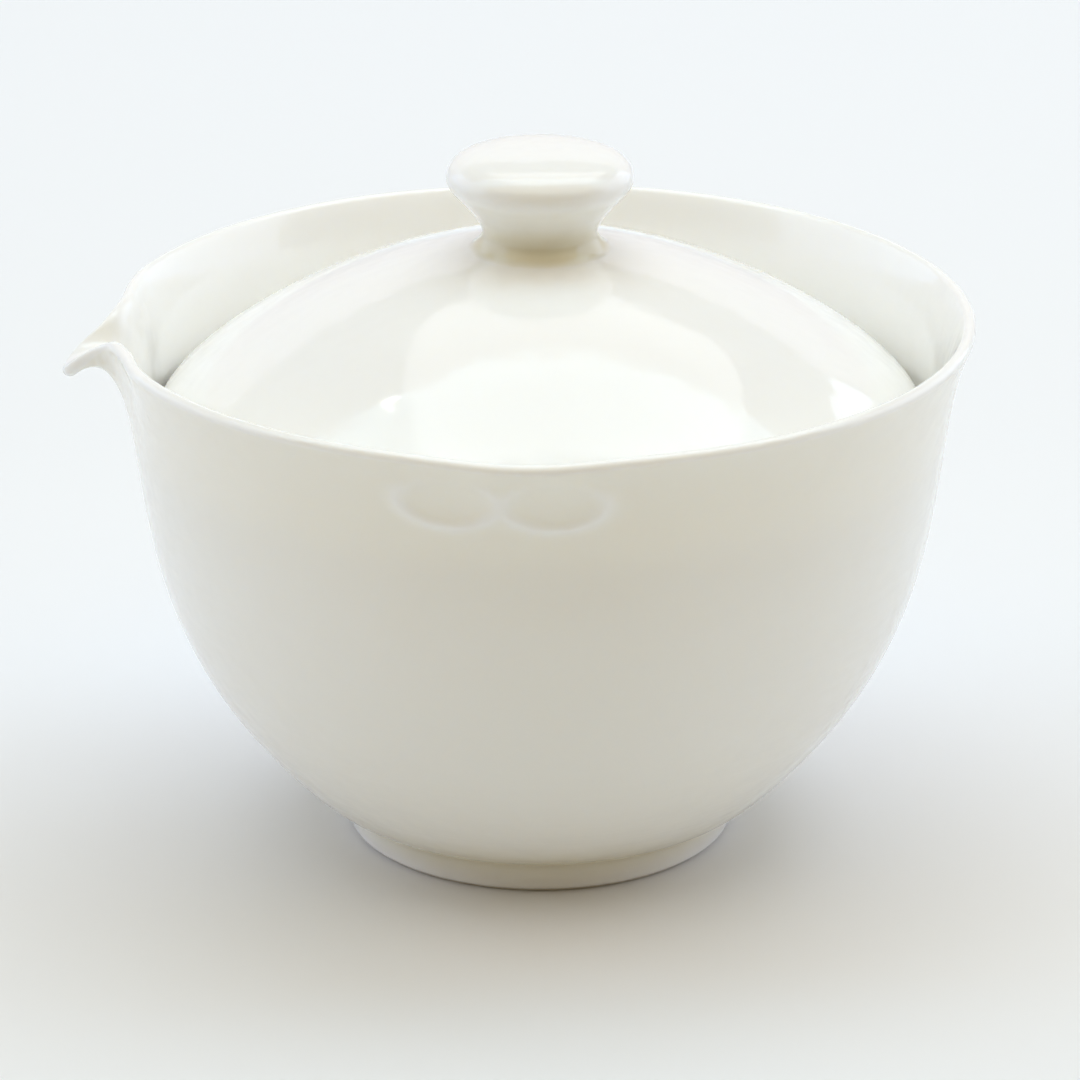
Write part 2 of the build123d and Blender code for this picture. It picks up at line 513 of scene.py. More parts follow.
@dataclass(frozen=True)
class BarePorcelain:
    """Vitrified porcelain where the glaze was wiped off before the firing."""

    clay: tuple[float, float, float] = (0.800, 0.765, 0.690)
    toasted: tuple[float, float, float] = (0.690, 0.600, 0.480)
    worn: tuple[float, float, float] = (0.480, 0.440, 0.380)
    toasting: float = 0.55
    wear: float = 0.6
    stains: float = 0.35
    roughness: tuple[float, float] = (0.48, 0.66)
    line_depth: float = 0.02 * MM
    sugar_depth: float = 0.03 * MM

    def build(self, groups: dict[str, bpy.types.ShaderNodeTree]) -> bpy.types.Material:
        """Make the material.

        Args:
            groups: The shared node groups.

        Returns:
            The finished material.
        """
        material = bpy.data.materials.new("bare porcelain")
        material.use_nodes = True
        work = Surface(material, groups)
        blush = work.place("mottling", Scale=120.0, Amount=2.2).outputs["Mask"]
        stain = work.place("pinholes", Scale=900.0, Rarity=0.9).outputs["Mask"]
        colour = work.colour_mix(work.remap(blush, 0.0, self.toasting), self.clay, self.toasted)
        rubbed = work.remap(work.attribute(POOL_SHADE_AND_WEAR), 0.0, self.wear)
        colour = work.colour_mix(rubbed, colour, self.worn)
        colour = work.colour_mix(work.remap(stain, 0.0, self.stains), colour, self.worn)
        work.tree.links.new(colour, work.shader.inputs["Base Color"])
        rough = work.remap(blush, self.roughness[0], self.roughness[1])
        work.tree.links.new(rough, work.shader.inputs["Roughness"])
        sugar = work.place("grain", Scale=2600.0, Detail=4.0).outputs["Height"]
        lines = work.place("turning", Spacing=0.0006).outputs["Height"]
        work.bumps([(lines, self.line_depth), (sugar, self.sugar_depth)])
        return material


def finishes() -> dict[Coat, bpy.types.Material]:
    """Build the shared groups and every finish.

    Returns:
        The material for each kind of coat.
    """
    groups = {
        "mottling": mottling_group(),
        "turning": turning_group(),
        "pinholes": pinhole_group(),
        "grain": grain_group(),
    }
    return {Coat.GLAZE: IvoryGlaze().build(groups), Coat.BARE: BarePorcelain().build(groups)}


# --- Meshes made of rings -------------------------------------------------------


@dataclass
class Skin:
    """A closed surface woven from rings of points, each ring one level of a profile."""

    name: str
    rings: list[Ring]
    depths: list[list[float]]
    hoop: bool = True
    tube: bool = False

    def weave(self) -> bpy.types.Object:
        """Make the mesh object.

        Rings run round the axis. With hoop the last point of a ring joins the first;
        with tube the last ring joins the first too, and otherwise both end rings are
        closed by a fan to their middle.

        Returns:
            The object, smooth shaded, with its glaze depth, painted shade and clay wear on its vertices.
        """
        count = len(self.rings[0])
        verts = [point for ring in self.rings for point in ring]
        depths = [value for level in self.depths for value in level]
        faces = []
        levels = len(self.rings)
        for i in range(levels if self.tube else levels - 1):
            low, high = i * count, (i + 1) % levels * count
            for j in range(count if self.hoop else count - 1):
                k = (j + 1) % count
                faces.append((low + j, low + k, high + k, high + j))
        if not self.tube:
            for level, flip in ((0, True), (levels - 1, False)):
                middle = sum(self.rings[level], Vector()) / count
                verts.append(middle)
                depths.append(sum(self.depths[level]) / count)
                hub = len(verts) - 1
                for j in range(count):
                    a, b = level * count + j, level * count + (j + 1) % count
                    faces.append((b, a, hub) if flip else (a, b, hub))
        elif not self.hoop:
            first = [i * count for i in range(levels)]
            last = [i * count + count - 1 for i in range(levels)]
            faces.append(tuple(first))
            faces.append(tuple(reversed(last)))
        mesh = bpy.data.meshes.new(self.name)
        mesh.from_pydata(verts, [], faces)
        mesh.validate()
        layer = mesh.attributes.new(POOL_SHADE_AND_WEAR, "FLOAT", "POINT")
        layer.data.foreach_set("value", depths)
        mesh.polygons.foreach_set("use_smooth", [True] * len(mesh.polygons))
        made = bpy.data.objects.new(self.name, mesh)
        bpy.context.scene.collection.objects.link(made)
        return made


def ring_through(places: list[Point], headings: list[float]) -> Ring:
    """Place one point at each heading round the axis.

    Args:
        places: Radius and height of each point.
        headings: Where round the axis each one lies, in radians.

    Returns:
        The ring.
    """
    return [Vector((r * math.cos(h), r * math.sin(h), z)) for (r, z), h in zip(places, headings)]


def turned_rings(profile: list[Point], steps: int) -> list[Ring]:
    """Turn each point of a profile into a round ring of that many points."""
    return [ring_through([point] * steps, full_turn(steps)) for point in profile]


def always(value: Point | float) -> Callable[[float], Point | float]:
    """Return a function that gives the same value at every angle."""
    return lambda angle: value


def dress(piece: bpy.types.Object, coat: Coat, material: bpy.types.Material, body: str) -> None:
    """Give a piece its finish and fix it to its body.

    Args:
        piece: The object.
        coat: Which coat it carries, which the log names.
        material: That coat's material.
        body: The body it moves with.
    """
    piece.data.materials.append(material)
    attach(piece, body)
    LOG.info("%s: %d faces, %s, on %s", piece.name, len(piece.data.polygons), coat.value, body)


# --- The bowl -------------------------------------------------------------------

RIM_OVERHANG = 0.065 * MM      # the rounded edge stands out this far past the outer face
RELIEF_INSIDE = 0.75           # how much of the relief is lost on the inner face
LIP_STEP = 0.6                 # degrees between points across the lip
REST_STEP = 0.42               # across the finger rests
PLAIN_STEP = 1.5               # and elsewhere


@dataclass
class FingerRest:
    """A finger rest under the rim: two fingertip hollows, each ringed by a soft ridge.

    Angles are in degrees from the lip, and drops are measured down from the rim. Points lie
    close together from fine_before half angles ahead of the rest to fine_after past it.
    """

    angle: float = 84.0
    half_angle: float = 11.0
    flare: float = 0.78 * MM
    sag: float = 0.4 * MM
    hollows: tuple[float, float] = (74.3, 87.8)
    hollow_drop: float = 4.9 * MM
    hollow_depth: float = 0.18 * MM
    hollow_half_height: float = 2.3 * MM
    hollow_half_angle: float = 4.8
    ridge_drop: float = 4.9 * MM
    ridge_height: float = 0.28 * MM
    ridge_half_width: float = 0.62 * MM
    ridge_reach: Point = (5.2 * MM, 2.9 * MM)
    ridge_start: Point = (2.0 * MM, 4.4 * MM)
    fine_before: float = 2.2
    fine_after: float = 1.8

    def turn_out(self, side: float) -> float:
        """Return how far the rim takes part in the rest at that angle, 0 to 1."""
        return bump(side - self.angle, self.half_angle)

    def raised(self, side: float, drop: float, radius: float) -> float:
        """Find how far up a ridge a point is.

        Args:
            side: Angle from the lip, in degrees.
            drop: Distance below the rim.
            radius: Radius of the face there.

        Returns:
            1 on a ridge's crest, fading to 0 away from it.
        """
        highest = 0.0
        for middle in self.hollows:
            across = math.radians(side - middle) * radius / self.ridge_reach[0]
            down = (drop - self.ridge_drop) / self.ridge_reach[1]
            away = (math.hypot(across, down) - 1.0) * self.ridge_reach[1]
            highest = max(highest, bump(away, self.ridge_half_width))
        start, full = self.ridge_start
        return highest * smooth_step((drop - start) / (full - start))

    def relief(self, side: float, drop: float, radius: float) -> float:
        """Find how far the outer face stands out or in.

        Args:
            side: Angle from the lip, in degrees.
            drop: Distance below the rim.
            radius: Radius of the face there.

        Returns:
            The offset, outwards where it is positive.
        """
        level = bump(drop - self.hollow_drop, self.hollow_half_height)
        width = self.hollow_half_angle
        pressed = sum(level * bump(side - middle, width) for middle in self.hollows)
        return self.ridge_height * self.raised(side, drop, radius) - self.hollow_depth * pressed


@dataclass
class PouringLip:
    """The lip drawn out of the rim, with the rim pinched and dipped beside it."""

    reach: float = 3.4 * MM
    drop: float = 5.9 * MM
    depth: float = 13.5 * MM
    half_angle: float = 3.6
    curl: tuple[Point, Point] = ((0.30, 0.56), (0.66, 0.69))
    throat_angle: float = 12.0
    throat_half_angle: float = 6.0
    throat_pinch: float = 0.7 * MM
    throat_sag: float = 0.6 * MM
    throat_sag_half_angle: float = 15.0


@dataclass
class Wall:
    """The bowl's wall: a round face worked into a lip and two finger rests."""

    foot_radius: float
    foot_height: float
    rim_radius: float
    rim_height: float
    curve: tuple[Point, ...] = (
        (0, 0),
        (0.23, 0),
        (0.315, 0.194),
        (1.08, 0.302),
        (0.74, 0.741),
        (1, 1),
    )
    floor_thickness: float = 2.6 * MM
    rim_thickness: float = 1.4 * MM
    thinning: float = 1.4
    edge_share: float = 0.7
    lip: PouringLip = field(default_factory=PouringLip)
    rest: FingerRest = field(default_factory=FingerRest)

    def __post_init__(self) -> None:
        """Work out where the drawn stretch of the wall begins."""
        self.edge_rise = self.edge_share * self.rim_thickness
        self.drawn_from = self.reached(self.rim_height - self.lip.depth, self.round_face)

    def round_face(self, t: float) -> Point:
        """Find the outer face as it was thrown, before the lip and rests.

        Args:
            t: 0 at the foot to 1 at the rim.

        Returns:
            Radius and height.
        """
        out, up = bezier(self.curve, t)
        radius = between(self.foot_radius, self.rim_radius, out)
        return radius, between(self.foot_height, self.rim_height - self.edge_rise, up)

    def reached(self, height: float, face: Callable[[float], Point]) -> float:
        """Find where a face climbs to a height.

        Args:
            height: The height to reach.
            face: Gives radius and height for t from 0 to 1.

        Returns:
            The t at which the face has that height.
        """
        low, high = 0.0, 1.0
        for _ in range(40):
            middle = (low + high) / 2
            if face(middle)[1] < height:
                low = middle
            else:
                high = middle
        return (low + high) / 2

    def lip_face(self, share: float) -> Point:
        """Find the outer face in the middle of the lip.

        Args:
            share: 0 to 1 up the drawn stretch.

        Returns:
            Radius and height, running on smoothly from the round face below.
        """
        start = self.round_face(self.drawn_from)
        ahead = self.round_face(self.drawn_from + NUDGE)
        run = (1 - self.drawn_from) / NUDGE / 4
        onward = tuple(a + (b - a) * run for a, b in zip(start, ahead))
        reach = self.rim_radius + self.lip.reach - start[0]
        top = self.rim_height
        bend = [(start[0] + out * reach, top - down * self.lip.drop) for out, down in self.lip.curl]
        return bezier([start, onward, *bend, (start[0] + reach, top - self.lip.drop)], share)

    def outer_face(self, t: float, angle: float) -> Point:
        """Find the outer face without its relief.

        Args:
            t: 0 at the foot to 1 at the rim.
            angle: Degrees from the lip.

        Returns:
            Radius and height.
        """
        radius, height = self.round_face(t)
        share = (t - self.drawn_from) / (1 - self.drawn_from)
        if share <= 0:
            return radius, height
        lip, side = self.lip, abs(angle)
        drawn = bump(side, lip.half_angle)
        lip_radius, lip_height = self.lip_face(share)
        radius += drawn * (lip_radius - radius)
        height += drawn * (lip_height - height)
        fade = smooth_step(share)
        turned_out = self.rest.turn_out(side) * fade
        radius -= lip.throat_pinch * bump(side - lip.throat_angle, lip.throat_half_angle) * fade
        radius += self.rest.flare * turned_out * share
        height -= self.rest.sag * turned_out
        height -= lip.throat_sag * bump(side, lip.throat_sag_half_angle) * fade * (1 - drawn)
        return radius, height

    def thickness(self, t: float) -> float:
        """Return the wall's thickness, which thins from the floor to the rim."""
        return between(self.floor_thickness, self.rim_thickness, smooth_step(self.thinning * t))

    def across(self, t: float, angle: float, share: float) -> Point:
        """Find a point within the wall.

        Args:
            t: 0 at the foot to 1 at the rim.
            angle: Degrees from the lip.
            share: 0 on the outer face to 1 on the inner one.

        Returns:
            Radius and height.
        """
        before = self.outer_face(max(t - 2 * NUDGE, 0.0), angle)
        after = self.outer_face(min(t + 2 * NUDGE, 1.0), angle)
        out, up = after[0] - before[0], after[1] - before[1]
        length = math.hypot(out, up)
        radius, height = self.outer_face(t, angle)
        relief = self.rest.relief(abs(angle), self.rim_height - height, radius)
        depth = share * self.thickness(t) - relief * (1 - share * RELIEF_INSIDE)
        return radius - depth * up / length, height + depth * out / length

    def drained(self, t: float, angle: float) -> float:
        """Return how far the glaze has run off the outer face, 1 on a ridge's crest."""
        radius, height = self.outer_face(t, angle)
        return self.rest.raised(abs(angle), self.rim_height - height, radius)

    def edge(self, angle: float, turn: float) -> Point:
        """Find a point on the rounded rim.

        Args:
            angle: Degrees from the lip.
            turn: 0 on the outer face to 1 on the inner one.

        Returns:
            Radius and height.
        """
        outer = self.across(1.0, angle, 0.0)
        inner = self.across(1.0, angle, 1.0)
        middle = ((outer[0] + inner[0]) / 2, (outer[1] + inner[1]) / 2)
        half = ((outer[0] - inner[0]) / 2, (outer[1] - inner[1]) / 2)
        c, s = math.cos(math.pi * turn), math.sin(math.pi * turn)
        return middle[0] + half[0] * c - half[1] * s, middle[1] + half[1] * c + half[0] * s

    def inner_radius(self, height: float) -> float:
        """Return the radius of the inner face at that height, at the back."""
        t = self.reached(height, lambda t: self.across(t, 180.0, 1.0))
        return self.across(t, 180.0, 1.0)[0]

    def angles(self) -> list[float]:
        """List the angles round the bowl, close together where the rim is worked.

        Returns:
            Degrees from the lip, from -180 up to, but without, 180.
        """
        lip_end = self.lip.throat_angle + self.lip.throat_half_angle
        rest_start = self.rest.angle - self.rest.fine_before * self.rest.half_angle
        rest_end = self.rest.angle + self.rest.fine_after * self.rest.half_angle
        half = spread(0.0, lip_end, round(lip_end / LIP_STEP))
        half += spread(lip_end, rest_start, round((rest_start - lip_end) / PLAIN_STEP))
        half += spread(rest_start, rest_end, round((rest_end - rest_start) / REST_STEP))
        half += spread(rest_end, 180.0, round((180.0 - rest_end) / PLAIN_STEP))
        return [-180.0] + [-angle for angle in reversed(half[1:])] + half


@dataclass
class Level:
    """One level of the bowl's profile: its place at each angle, and its glaze's depth, which carries
    painted shade too at the foot joint.
    """

    place: Callable[[float], Point]
    depth: Callable[[float], float]


@dataclass
class Bowl:
    """The thrown bowl with its foot, in one glazed skin, and its bare resting band."""

    wall: Wall
    foot_taper: float = 0.45 * MM
    foot_width: float = 3.0 * MM
    foot_round: float = 0.5 * MM
    glaze_end: float = 0.3 * MM
    recess_height: float = 3.7 * MM
    recess_fillet: float = 1.3 * MM
    joint_from: float = 0.05
    joint_fillet: float = 1.5 * MM
    joint_hold: float = 0.55
    joint_steps: int = 10
    # glaze pooled in the foot joint, also painted shade for the shade that falls there
    joint_pool_and_shade: float = 0.85
    joint_pool_and_shade_span: Point = (0.2, 0.75)
    outer_glaze: float = 0.12
    outer_glaze_run: float = 0.22
    rim_glaze: float = 0.12
    rim_glaze_from: float = 0.72
    recess_glaze: float = 0.15
    recess_fillet_glaze: float = 0.75
    floor_glaze: float = 0.6
    floor_glaze_from: float = 0.05
    floor_glaze_run: float = 0.4
    middle_shares: tuple[float, ...] = (0.06, 0.3, 0.6, 0.85)
    band_inset: float = 0.55 * MM
    band_round: float = 0.25 * MM
    band_turns: int = 192
    sole_height: float = 0.1 * MM
    sole_wear: float = 0.5
    side_wear: float = 0.1
    low_stations: int = 40
    high_stations: int = 54
    edge_steps: int = 10
    inner_stations: int = 70

    def foot_side(self, height: float) -> float:
        """Return the radius of the foot's outer side at that height."""
        return self.wall.foot_radius - self.foot_taper * (1 - height / self.wall.foot_height)

    def foot_inside(self, height: float) -> float:
        """Return the radius of the foot's inner side, which leans the other way."""
        share = height / self.wall.foot_height
        return self.foot_side(0.0) - self.foot_width - self.foot_round * share

    def foot_levels(self) -> list[tuple[Point, float]]:
        """Lay out the underside from the middle of the recess to the foot's outer side.

        Returns:
            Pairs of a point and its glaze depth.
        """
        recess = self.recess_height
        corner = (self.foot_inside(recess) - self.recess_fillet, recess - self.recess_fillet)
        low = self.glaze_end + self.foot_round
        inside = (self.foot_inside(low) + self.foot_round, low)
        outside = (self.foot_side(low) - self.foot_round, low)
        levels = [((corner[0] * share, recess), self.recess_glaze) for share in self.middle_shares]
        turn = arc(corner, self.recess_fillet, 90, 0, 8)
        levels += [(p, self.recess_fillet_glaze) for p in turn]
        levels += [(p, 0.0) for p in arc(inside, self.foot_round, 180, 270, 6)]
        levels += [(p, 0.0) for p in arc(outside, self.foot_round, 270, 360, 6)]
        return levels

    def joint_levels(self) -> list[tuple[Point, float]]:
        """Lay out the hollow where the foot meets the wall, in which glaze gathers and shade is painted
        on.

        Returns:
            Pairs of a point and its glaze depth, with painted shade.
        """
        end = self.wall.round_face(self.joint_from)
        ahead = self.wall.round_face(self.joint_from + 10 * NUDGE)
        slope = math.atan2(ahead[1] - end[1], ahead[0] - end[0])
        hold = self.joint_hold * self.joint_fillet
        start_height = end[1] - self.joint_fillet
        start = (self.foot_side(start_height), start_height)
        back = (end[0] - hold * math.cos(slope), end[1] - hold * math.sin(slope))
        curve = [start, (start[0], start[1] + hold), back, end]
        levels = []
        for i in range(self.joint_steps + 1):
            share = i / self.joint_steps
            swing = math.pi * between(*self.joint_pool_and_shade_span, share)
            # the depth rises and falls across the hollow: pooled glaze and painted shade
            levels.append((bezier(curve, share), self.joint_pool_and_shade * math.sin(swing)))
        return levels

    def levels(self) -> list[Level]:
        """Run the whole profile from the recess, up the outside, over the rim and in.

        Returns:
            The levels, in order.
        """
        wall = self.wall
        below = self.foot_levels() + self.joint_levels()
        rows = [Level(always(point), always(depth)) for point, depth in below]
        low = spread(self.joint_from, wall.drawn_from, self.low_stations)[1:]
        high = spread(wall.drawn_from, 1.0, self.high_stations) + [1.0]
        for t in low + high:
            thinned = smooth_step((t - self.joint_from) / self.outer_glaze_run)
            # painted shade and pooled glaze at the foot joint, thinning up the outer wall
            pool_shade = between(self.joint_pool_and_shade, self.outer_glaze, thinned)
            held = smooth_step((t - self.rim_glaze_from) / self.outer_glaze_run)
            pool_shade += self.rim_glaze * held
            rows.append(
                Level(
                    lambda a, t=t: wall.across(t, a, 0.0),
                    lambda a, t=t, d=pool_shade: d * (1 - wall.drained(t, a)),
                )
            )
        for i in range(1, self.edge_steps):
            turn = i / self.edge_steps
            rows.append(Level(lambda a, turn=turn: wall.edge(a, turn), always(0.0)))
        for t in reversed(spread(0.0, 1.0, self.inner_stations) + [1.0]):
            climb = smooth_step((t - self.floor_glaze_from) / self.floor_glaze_run)
            pool_shade = self.floor_glaze * (1 - climb)
            rows.append(Level(lambda a, t=t: wall.across(t, a, 1.0), always(pool_shade)))
        floor = wall.foot_height + wall.floor_thickness
        for share in reversed(self.middle_shares):
            point = (wall.foot_radius * share, floor)
            rows.append(Level(always(point), always(self.floor_glaze * share)))
        return rows

    def skin(self) -> bpy.types.Object:
        """Weave the glazed skin.

        Returns:
            The bowl and foot as one object.
        """
        angles = self.wall.angles()
        turns = [math.radians(180.0 + angle) for angle in angles]
        rings, depths = [], []
        for level in self.levels():
            places = [level.place(angle) for angle in angles]
            rings.append(ring_through(places, turns))
            depths.append([level.depth(angle) for angle in angles])
        return Skin("glazed_bowl", rings, depths).weave()

    def band(self) -> bpy.types.Object:
        """Turn the bare ring that the bowl rests on.

        Returns:
            The ring, more worn on its sole.
        """
        low = self.glaze_end + self.foot_round
        inner = self.foot_inside(low) + self.band_inset
        outer = self.foot_side(low) - self.band_inset
        profile = band_profile((inner, 0.0), (outer, low), self.band_round, 5)
        worn = []
        for _, z in profile:
            wear = self.sole_wear if z < self.sole_height else self.side_wear
            worn.append([wear] * self.band_turns)
        rings = turned_rings(profile, self.band_turns)
        return Skin("foot_band", rings, worn, tube=True).weave()

    def make(self, coats: dict[Coat, bpy.types.Material]) -> None:
        """Build and dress the bowl's pieces.

        Args:
            coats: The material of each coat.
        """
        skin = self.skin()
        dress(skin, Coat.GLAZE, coats[Coat.GLAZE], "bowl")
        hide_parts("bowl_shell", "foot_ring")
        dress(self.band(), Coat.BARE, coats[Coat.BARE], "bowl")


@dataclass
class LidLedge:
    """The bare ledge inside the bowl, luted to the wall and open behind the lip."""

    wall: Wall
    top: float
    width: float = 4.4 * MM
    height: float = 4.2 * MM
    nose: float = 1.2 * MM
    nose_round: float = 0.45 * MM
    sunk: float = 0.10 * MM
    gap_half_angle: float = 24.0
    end_angle: float = 5.0
    least_swell: float = 0.15
    wear: float = 0.15
    steps: int = 240

    def section(self, swell: float) -> list[Point]:
        """Lay out the section, anticlockwise with the radius to the right.

        Args:
            swell: Its size, 1 in full and less where the ledge tapers away.

        Returns:
            Its points, as radius and height.
        """
        bottom = self.top - self.height * swell
        heights = [between(bottom, self.top, i / 4) for i in range(5)]
        back = [(self.wall.inner_radius(z) + self.sunk, z) for z in heights]
        soft = self.nose_round * swell
        tip = back[-1][0] - self.sunk - self.width * swell + soft
        under = self.top - self.nose * swell + soft
        front = arc((tip, self.top - soft), soft, 90, 180, 5) + arc((tip, under), soft, 180, 250, 5)
        return back + front

    def make(self, coats: dict[Coat, bpy.types.Material]) -> None:
        """Build and dress the ledge.

        Args:
            coats: The material of each coat.
        """
        start, stop = self.gap_half_angle, 360.0 - self.gap_half_angle
        angles = [between(start, stop, i / self.steps) for i in range(self.steps + 1)]
        sections = {}
        columns = []
        for angle in angles:
            inset = min(min(angle - start, stop - angle) / self.end_angle, 1.0)
            swell = round(max(math.sqrt(1 - (1 - inset) ** 2), self.least_swell), 3)
            if swell not in sections:
                sections[swell] = self.section(swell)
            heading = math.radians(180.0 + angle)
            c, s = math.cos(heading), math.sin(heading)
            columns.append([Vector((r * c, r * s, z)) for r, z in sections[swell]])
        rings = [list(row) for row in zip(*columns)]
        depths = [[self.wear] * len(angles) for _ in rings]
        ledge = Skin("ledge", rings, depths, hoop=False, tube=True).weave()
        dress(ledge, Coat.BARE, coats[Coat.BARE], "bowl")
        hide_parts("lid_ledge")


# --- The lid --------------------------------------------------------------------


@dataclass
class Knob:
    """The disc knob: a short neck that flares to a round edge under a domed top.

    The bends are in millimetres, out from the axis and up from the seat on the dome. Each
    starts where the one before ends.
    """

    seat: float
    neck: float = 6.05 * MM
    neck_foot: float = 1.1 * MM
    flare: tuple[Point, ...] = ((6.05, 2.3), (7.6, 4.0), (9.0, 5.45))
    belly: tuple[Point, ...] = ((9.45, 5.92), (9.88, 6.45), (9.88, 7.1))
    shoulder: tuple[Point, ...] = ((9.88, 7.85), (9.5, 8.5), (8.6, 9.05))
    crown: tuple[Point, ...] = ((7.2, 9.9), (3.6, 10.3), (0.3, 10.3))
    # glaze pooled at the neck, with painted shade there and under the flare
    neck_pool_and_shade: float = 0.9
    flare_pool_and_shade: float = 0.2
    steps: int = 12

    def levels(self) -> list[tuple[Point, float]]:
        """Lay out the knob from the foot of its neck to its top.

        Returns:
            Pairs of a point and its glaze depth, with painted shade at the neck and under the flare.
        """
        start = (self.neck / MM, self.neck_foot / MM)
        pool_shade = self.neck_pool_and_shade
        bends = (
            (self.flare, self.flare_pool_and_shade),
            (self.belly, 0.0),
            (self.shoulder, 0.0),
            (self.crown, 0.0),
        )
        found = []
        for bend, left in bends:
            for i in range(self.steps):
                share = i / self.steps
                r, z = bezier((start, *bend), share)
                depth = between(pool_shade, left, smooth_step(1.5 * share))
                found.append(((r * MM, self.seat + z * MM), depth))
            start, pool_shade = bend[-1], left
        found.append(((start[0] * MM, self.seat + start[1] * MM), 0.0))
        return found


@dataclass
class Lid:
    """The domed lid and its knob in one glazed skin, and the bare edge that it sits on."""

    radius: float
    edge_height: float
    rise: float
    knob: Knob
    curve: tuple[Point, ...] = ((1, 0), (0.988, 0.205), (0.835, 0.452), (0.42, 1.0), (0, 1.0))
    thickness: float = 2.0 * MM
    edge_round: float = 0.45 * MM
    edge_clearance: float = 0.1 * MM
    neck_fillet: float = 0.9 * MM
    neck_hold: float = 0.6
    neck_lift: float = 0.04 * MM
    neck_steps: int = 10
    middle: float = 0.4 * MM
    inner_glaze: float = 0.1
    bare_height: float = 0.32 * MM
    band_inner_inset: float = 0.25 * MM
    band_outer_inset: float = 0.3 * MM
    band_height: float = 0.8 * MM
    band_round: float = 0.2 * MM
    band_wear: float = 0.2
    steps: int = 72
    turns: int = 288

    def face(self, t: float, depth: float) -> Point:
        """Find a point on the dome.

        Args:
            t: 0 at the edge to 1 on the axis.
            depth: Distance under the outer face.

        Returns:
            Radius and height.
        """
        here = bezier(self.curve, t)
        low = bezier(self.curve, max(t - NUDGE, 0))
        high = bezier(self.curve, min(t + NUDGE, 1))
        out, up = (high[0] - low[0]) * self.radius, (high[1] - low[1]) * self.rise
        length = math.hypot(out, up)
        r, z = here[0] * self.radius, self.edge_height + here[1] * self.rise
        return r - depth * up / length, z + depth * out / length

    def levels(self) -> list[tuple[Point, float]]:
        """Run the profile from the middle of the underside, round the edge to the knob.

        Returns:
            Pairs of a point and its glaze depth, with painted shade round the knob's neck.
        """
        lowest = self.edge_height + self.bare_height
        soft = self.edge_round
        clear = lowest + soft + self.edge_clearance
        inner = [self.face(i / self.steps, self.thickness) for i in range(self.steps)]
        inner = [p for p in inner if p[1] > clear]
        rows = [((self.middle, inner[-1][1]), self.inner_glaze)]
        rows += [(p, self.inner_glaze) for p in reversed(inner)]
        inside = (self.radius - self.thickness + soft, lowest + soft)
        outside = (self.face(0.02, 0.0)[0] - soft, lowest + soft)
        rows += [(p, 0.0) for p in arc(inside, soft, 180, 270, 5)]
        rows += [(p, 0.0) for p in arc(outside, soft, 270, 360, 5)]
        outer = [self.face(i / self.steps, 0.0) for i in range(1, self.steps)]
        hollow = self.knob.neck + self.neck_fillet
        rows += [(p, 0.0) for p in outer if p[1] > clear and p[0] > hollow]
        meet = rows[-1][0]
        foot = (self.knob.neck, self.knob.seat + self.knob.neck_foot)
        hold = self.neck_hold * self.neck_fillet
        inwards = (meet[0] - hold, meet[1] + self.neck_lift)
        curve = [meet, inwards, (foot[0], foot[1] - hold), foot]
        for i in range(1, self.neck_steps):
            share = i / self.neck_steps
            # the depth climbs to the knob's neck: pooled glaze and painted shade
            rows.append((bezier(curve, share), smooth_step(2 * share)))
        return rows + self.knob.levels()

    def edge_band(self) -> bpy.types.Object:
        """Turn the bare ring under the lid's edge.

        Returns:
            The ring.
        """
        inside = (self.radius - self.thickness + self.band_inner_inset, self.edge_height)
        outside = (self.radius - self.band_outer_inset, self.edge_height + self.band_height)
        profile = band_profile(inside, outside, self.band_round, 4)
        worn = [[self.band_wear] * self.turns for _ in profile]
        rings = turned_rings(profile, self.turns)
        return Skin("lid_edge_band", rings, worn, tube=True).weave()

    def make(self, coats: dict[Coat, bpy.types.Material]) -> None:
        """Build and dress the lid's pieces.

        Args:
            coats: The material of each coat.
        """
        rows = self.levels()
        rings = turned_rings([point for point, _ in rows], self.turns)
        depths = [[depth] * self.turns for _, depth in rows]
        skin = Skin("glazed_lid", rings, depths).weave()
        dress(skin, Coat.GLAZE, coats[Coat.GLAZE], "lid")
        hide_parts("lid_dome", "lid_knob")
        dress(self.edge_band(), Coat.BARE, coats[Coat.BARE], "lid")


# --- The studio -----------------------------------------------------------------


@dataclass
class Panel:
    """A soft light panel, aimed at a point."""

    name: str
    place: tuple[float, float, float]
    aim: tuple[float, float, float]
    size: tuple[float, float]
    radiance: float
    colour: tuple[float, float, float]

    def hang(self) -> None:
        """Add the light, with the power that gives its face that radiance."""
        data = bpy.data.lights.new(self.name, "AREA")
        data.shape = "RECTANGLE"
        data.size, data.size_y = self.size
        data.energy = self.radiance * math.pi * self.size[0] * self.size[1]
        data.color = self.colour
        lamp = bpy.data.objects.new(self.name, data)
        lamp.location = self.place
        ahead = Vector(self.aim) - Vector(self.place)
        lamp.rotation_euler = ahead.to_track_quat("-Z", "Y").to_euler()
        bpy.context.scene.collection.objects.link(lamp)


